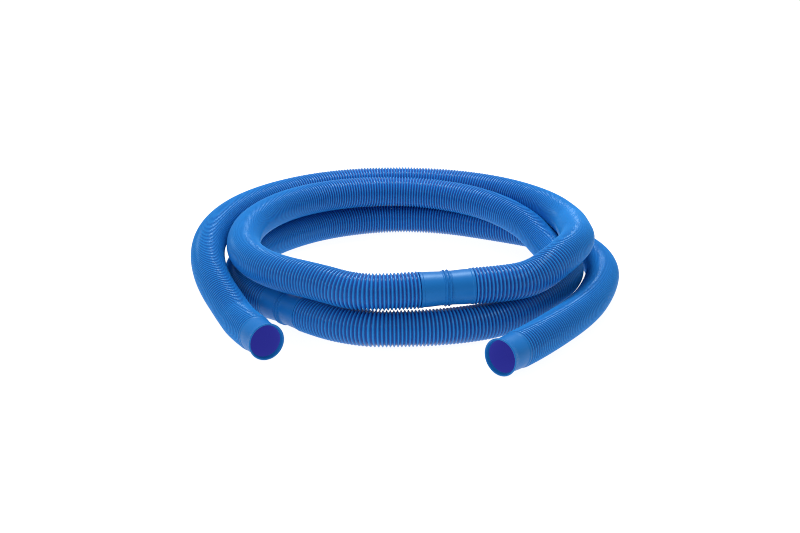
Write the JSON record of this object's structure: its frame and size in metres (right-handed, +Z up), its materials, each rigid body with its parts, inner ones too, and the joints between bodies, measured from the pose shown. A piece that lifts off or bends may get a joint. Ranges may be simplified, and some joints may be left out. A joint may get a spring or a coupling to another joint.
{
  "type": "pool vacuum hose",
  "caption": "Flexible corrugated vacuum hose in three joined lengths, coiled loosely on the ground, with a smooth push-fit cuff at each free end.",
  "frame": {"origin": "on the floor, under the middle of the coiled hose's box", "axes": "+Z up; both mouths are at the -Y side and open towards -Y; +X to the right seen from there"},
  "size_m": [0.5854, 0.6596, 0.109],
  "materials": {
    "blue_hose": "satin, ring-corrugated flexible EVA",
    "blue_cuff": "smooth semi-gloss flexible moulding"
  },
  "bodies": {
    "root": {"end_cuff_left": "blue_cuff", "hose_section_1": "blue_hose", "joint_cuff_1a": "blue_cuff", "joint_cuff_1b": "blue_cuff", "hose_section_2": "blue_hose", "joint_cuff_2a": "blue_cuff", "joint_cuff_2b": "blue_cuff", "hose_section_3": "blue_hose", "end_cuff_right": "blue_cuff"}
  },
  "joints": []
}
